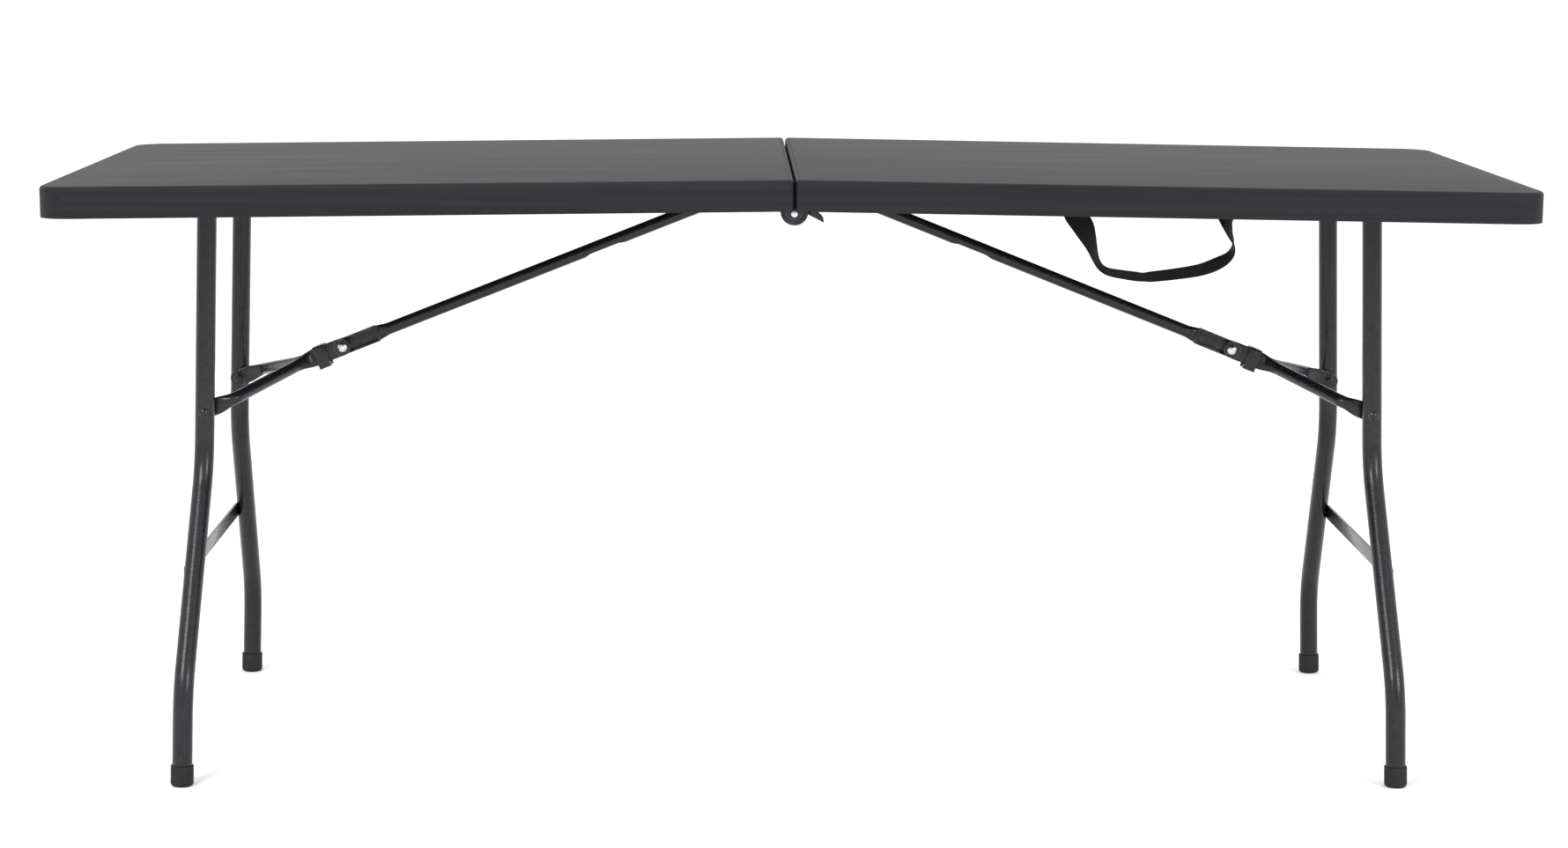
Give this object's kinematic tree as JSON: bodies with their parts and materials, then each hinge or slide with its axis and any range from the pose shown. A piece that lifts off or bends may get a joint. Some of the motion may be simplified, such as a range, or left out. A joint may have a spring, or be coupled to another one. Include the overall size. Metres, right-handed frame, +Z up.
{
  "type": "folding table",
  "caption": "Fold-in-half utility table: hollow moulded halves hinged at the middle, folding steel leg frames with locking braces, a latch and a webbing carry handle.",
  "frame": {"origin": "on the floor under the middle of the open table", "axes": "+X along the table, from the left half to the right half; +Y from the front to the back; +Z up"},
  "size_m": [1.8298, 0.752, 0.7619],
  "materials": {
    "moulded_plastic": "fine-grained moulded polyethylene",
    "painted_steel": "hammered powder coat",
    "zinc": "zinc plated",
    "rubber": "moulded rubber",
    "webbing": "woven nylon webbing"
  },
  "bodies": {
    "left_half": {"left_top": "moulded_plastic", "left_front_rail": "painted_steel", "left_rear_rail": "painted_steel", "left_hinge_ears": "painted_steel", "left_brace_bracket": "painted_steel", "left_brace_pin": "zinc", "left_screws": "zinc", "front_hinge_pin": "zinc", "rear_hinge_pin": "zinc"},
    "left_legs": {"left_leg_pivot": "painted_steel", "left_front_leg": "painted_steel", "left_rear_leg": "painted_steel", "left_crossbar": "painted_steel", "left_front_foot": "rubber", "left_rear_foot": "rubber", "left_leg_rivets": "painted_steel"},
    "left_arm": {"left_brace_arm": "painted_steel"},
    "left_fork": {"left_brace_rivet": "zinc", "left_front_fork": "painted_steel", "left_rear_fork": "painted_steel", "left_fork_rivets": "painted_steel"},
    "left_ring": {"left_lock_ring": "painted_steel"},
    "right_half": {"right_top": "moulded_plastic", "right_front_rail": "painted_steel", "right_rear_rail": "painted_steel", "right_hinge_ears": "painted_steel", "right_brace_bracket": "painted_steel", "right_brace_pin": "zinc", "right_screws": "zinc", "latch_pin": "zinc", "carry_handle": "webbing", "handle_screws": "zinc"},
    "right_legs": {"right_leg_pivot": "painted_steel", "right_front_leg": "painted_steel", "right_rear_leg": "painted_steel", "right_crossbar": "painted_steel", "right_front_foot": "rubber", "right_rear_foot": "rubber", "right_leg_rivets": "painted_steel"},
    "right_arm": {"right_brace_arm": "painted_steel"},
    "right_fork": {"right_brace_rivet": "zinc", "right_front_fork": "painted_steel", "right_rear_fork": "painted_steel", "right_fork_rivets": "painted_steel"},
    "right_ring": {"right_lock_ring": "painted_steel"},
    "latch": {"latch_hook": "painted_steel"}
  },
  "joints": [
    {"name": "center_fold", "type": "hinge", "parent": "left_half", "child": "right_half", "pos_m": [0, 0, 0.7185], "axis": [0, 1, 0], "range_deg": [0, 90]},
    {"name": "left_leg_fold", "type": "hinge", "parent": "left_half", "child": "left_legs", "pos_m": [-0.73817, 0, 0.7258], "axis": [0, -1, 0], "range_deg": [0, 92.3]},
    {"name": "left_arm_swing", "type": "hinge", "parent": "left_half", "child": "left_arm", "pos_m": [-0.02719, 0, 0.73213], "axis": [0, 1, 0], "range_deg": [0, 21.4]},
    {"name": "left_fork_swing", "type": "hinge", "parent": "left_arm", "child": "left_fork", "pos_m": [-0.58671, 0, 0.5094], "axis": [0, -1, 0], "range_deg": [0, 180.05]},
    {"name": "left_ring_slide", "type": "slide", "parent": "left_fork", "child": "left_ring", "axis": [0.9291, 0, 0.3698], "range_m": [0, 0.014]},
    {"name": "right_leg_fold", "type": "hinge", "parent": "right_half", "child": "right_legs", "pos_m": [0.73817, 0, 0.7258], "axis": [0, 1, 0], "range_deg": [0, 92.3]},
    {"name": "right_arm_swing", "type": "hinge", "parent": "right_half", "child": "right_arm", "pos_m": [0.02719, 0, 0.73213], "axis": [0, -1, 0], "range_deg": [0, 21.4]},
    {"name": "right_fork_swing", "type": "hinge", "parent": "right_arm", "child": "right_fork", "pos_m": [0.58671, 0, 0.5094], "axis": [0, 1, 0], "range_deg": [0, 180.05]},
    {"name": "right_ring_slide", "type": "slide", "parent": "right_fork", "child": "right_ring", "axis": [-0.9291, 0, 0.3698], "range_m": [0, 0.014]},
    {"name": "latch_release", "type": "hinge", "parent": "right_half", "child": "latch", "pos_m": [0.02828, -0.341, 0.73861], "axis": [0, -1, 0], "range_deg": [0, 8], "stiffness_Nm_per_rad": 0.5, "springref_deg": -11.46}
  ],
  "couplings": [
    {"joint": "left_arm_swing", "follows": "left_leg_fold", "ratio": 0.23168},
    {"joint": "left_fork_swing", "follows": "left_leg_fold", "ratio": 1.9502},
    {"joint": "right_arm_swing", "follows": "right_leg_fold", "ratio": 0.23168},
    {"joint": "right_fork_swing", "follows": "right_leg_fold", "ratio": 1.9502}
  ]
}
